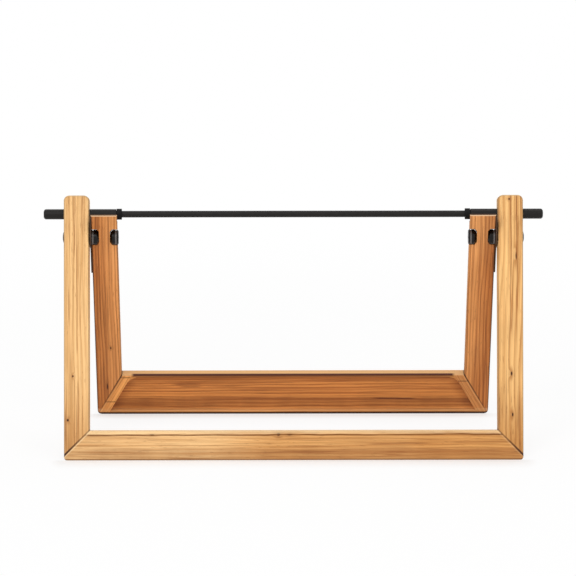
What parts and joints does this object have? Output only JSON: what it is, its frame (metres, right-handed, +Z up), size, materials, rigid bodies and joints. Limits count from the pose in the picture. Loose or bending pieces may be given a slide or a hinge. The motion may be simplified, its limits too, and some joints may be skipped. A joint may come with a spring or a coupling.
{
  "type": "yarn ball holder",
  "caption": "Folding wooden A-frame stand whose turning steel rod carries balls of yarn so that they unwind freely.",
  "frame": {"origin": "centre of the bounding box on the table plane", "axes": "+Z up from the table, X along the rod, -Y towards the front frame"},
  "size_m": [0.392, 0.118, 0.1973],
  "materials": {
    "light_wood": "satin oiled",
    "dark_wood": "satin oiled",
    "spline_wood": "bare",
    "black_steel": "satin black",
    "brown_steel": "satin brown",
    "black_acetal": "gloss black",
    "nylon": "natural",
    "black_rubber": "matte"
  },
  "bodies": {
    "front_frame": {"front_left_post": "light_wood", "front_right_post": "light_wood", "front_rail": "light_wood", "front_left_spline": "spline_wood", "front_right_spline": "spline_wood", "left_pivot_bolt": "black_steel", "right_pivot_bolt": "black_steel", "left_pivot_nut": "black_steel", "right_pivot_nut": "black_steel", "left_rod_bush": "nylon", "right_rod_bush": "nylon"},
    "rear_frame": {"rear_left_leg": "dark_wood", "rear_right_leg": "dark_wood", "rear_rail": "dark_wood", "rear_left_spline": "spline_wood", "rear_right_spline": "spline_wood", "left_pivot_bush": "black_acetal", "right_pivot_bush": "black_acetal", "left_stop_plate": "brown_steel", "right_stop_plate": "brown_steel", "left_plate_screws": "black_steel", "right_plate_screws": "black_steel"},
    "rod": {"spindle": "black_steel", "left_rod_sleeve": "black_steel", "right_rod_sleeve": "black_steel"},
    "left_collar": {"left_stop_collar": "black_rubber"},
    "right_collar": {"right_stop_collar": "black_rubber"}
  },
  "joints": [
    {"name": "rear_fold", "type": "hinge", "parent": "front_frame", "child": "rear_frame", "pos_m": [0, 0.00171, 0.16406], "axis": [1, 0, 0], "range_deg": [-28, 0]},
    {"name": "rod_spin", "type": "hinge", "parent": "front_frame", "child": "rod", "pos_m": [0, 0.00733, 0.18137], "axis": [1, 0, 0], "continuous": true},
    {"name": "left_collar_slide", "type": "slide", "parent": "rod", "child": "left_collar", "axis": [1, 0, 0], "range_m": [0, 0.12]},
    {"name": "right_collar_slide", "type": "slide", "parent": "rod", "child": "right_collar", "axis": [-1, 0, 0], "range_m": [0, 0.12]}
  ]
}
